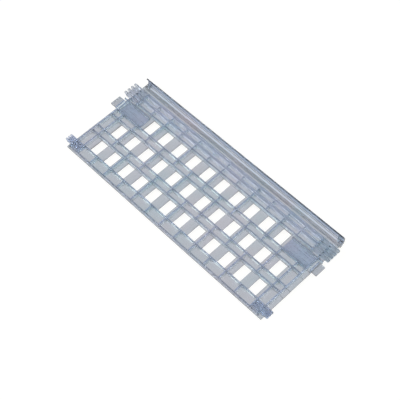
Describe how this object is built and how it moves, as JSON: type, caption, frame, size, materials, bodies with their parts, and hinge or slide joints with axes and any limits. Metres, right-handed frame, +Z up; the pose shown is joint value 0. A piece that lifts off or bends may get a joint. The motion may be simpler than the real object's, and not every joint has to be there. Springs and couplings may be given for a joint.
{
  "type": "lattice rack panel",
  "caption": "Clear blue-tinted lattice panel with rows of rectangular windows, upright ribs, a channel with a bowed lip along one edge, end tongues and stacks of thin clip plates at its corners.",
  "frame": {"origin": "middle of the bounding box, on the plane of the channel's underside", "axes": "+X along the panel, +Y across it towards the bowed lip, +Z up from the deck to the ribs"},
  "size_m": [0.3392, 0.134, 0.0174],
  "materials": {
    "deck_plastic": "clear blue-tinted moulded plastic, satin gloss",
    "rib_plastic": "clear blue-tinted moulded plastic, gloss",
    "lip_plastic": "clear blue-tinted moulded plastic, gloss",
    "clip_plastic": "clear moulded plastic, gloss",
    "pad_plastic": "clear blue-tinted moulded plastic with a fine spark-eroded texture"
  },
  "bodies": {
    "root": {"channel_floor": "lip_plastic", "channel_near_wall": "lip_plastic", "cross_rib_01": "rib_plastic", "cross_rib_02": "rib_plastic", "cross_rib_03": "rib_plastic", "cross_rib_04": "rib_plastic", "cross_rib_05": "rib_plastic", "cross_rib_06": "rib_plastic", "cross_rib_07": "rib_plastic", "cross_rib_08": "rib_plastic", "cross_rib_09": "rib_plastic", "cross_rib_10": "rib_plastic", "cross_rib_11": "rib_plastic", "far_band": "deck_plastic", "far_band_far_rib": "rib_plastic", "far_band_near_rib": "rib_plastic", "far_lip_root": "lip_plastic", "far_lip_skirt": "lip_plastic", "far_lip_wall": "lip_plastic", "far_rib": "rib_plastic", "far_row_slats": "deck_plastic", "far_strip": "deck_plastic", "first_ridge": "rib_plastic", "left_channel_end_wall": "rib_plastic", "left_corner_plate": "deck_plastic", "left_end_panels": "deck_plastic", "left_far_clip_plates": "clip_plastic", "left_far_clip_tab": "clip_plastic", "left_inner_end_rib": "rib_plastic", "left_near_clip_plates": "clip_plastic", "left_near_clip_tab": "clip_plastic", "left_outer_end_rib": "rib_plastic", "left_pad": "pad_plastic", "left_pad_rib": "rib_plastic", "left_tongue": "clip_plastic", "left_tongue_riser": "clip_plastic", "middle_row_slats": "deck_plastic", "near_band": "deck_plastic", "near_band_far_rib": "rib_plastic", "near_band_near_rib": "rib_plastic", "near_edge_strip": "deck_plastic", "near_rib": "rib_plastic", "near_row_slats": "deck_plastic", "near_wall": "rib_plastic", "right_channel_end_wall": "rib_plastic", "right_corner_plate": "deck_plastic", "right_end_panels": "deck_plastic", "right_far_clip_plates": "clip_plastic", "right_far_clip_tab": "clip_plastic", "right_inner_end_rib": "rib_plastic", "right_near_clip_plates": "clip_plastic", "right_near_clip_tab": "clip_plastic", "right_outer_end_rib": "rib_plastic", "right_pad": "pad_plastic", "right_pad_rib": "rib_plastic", "right_tongue": "clip_plastic", "right_tongue_riser": "clip_plastic", "second_ridge": "rib_plastic"}
  },
  "joints": []
}
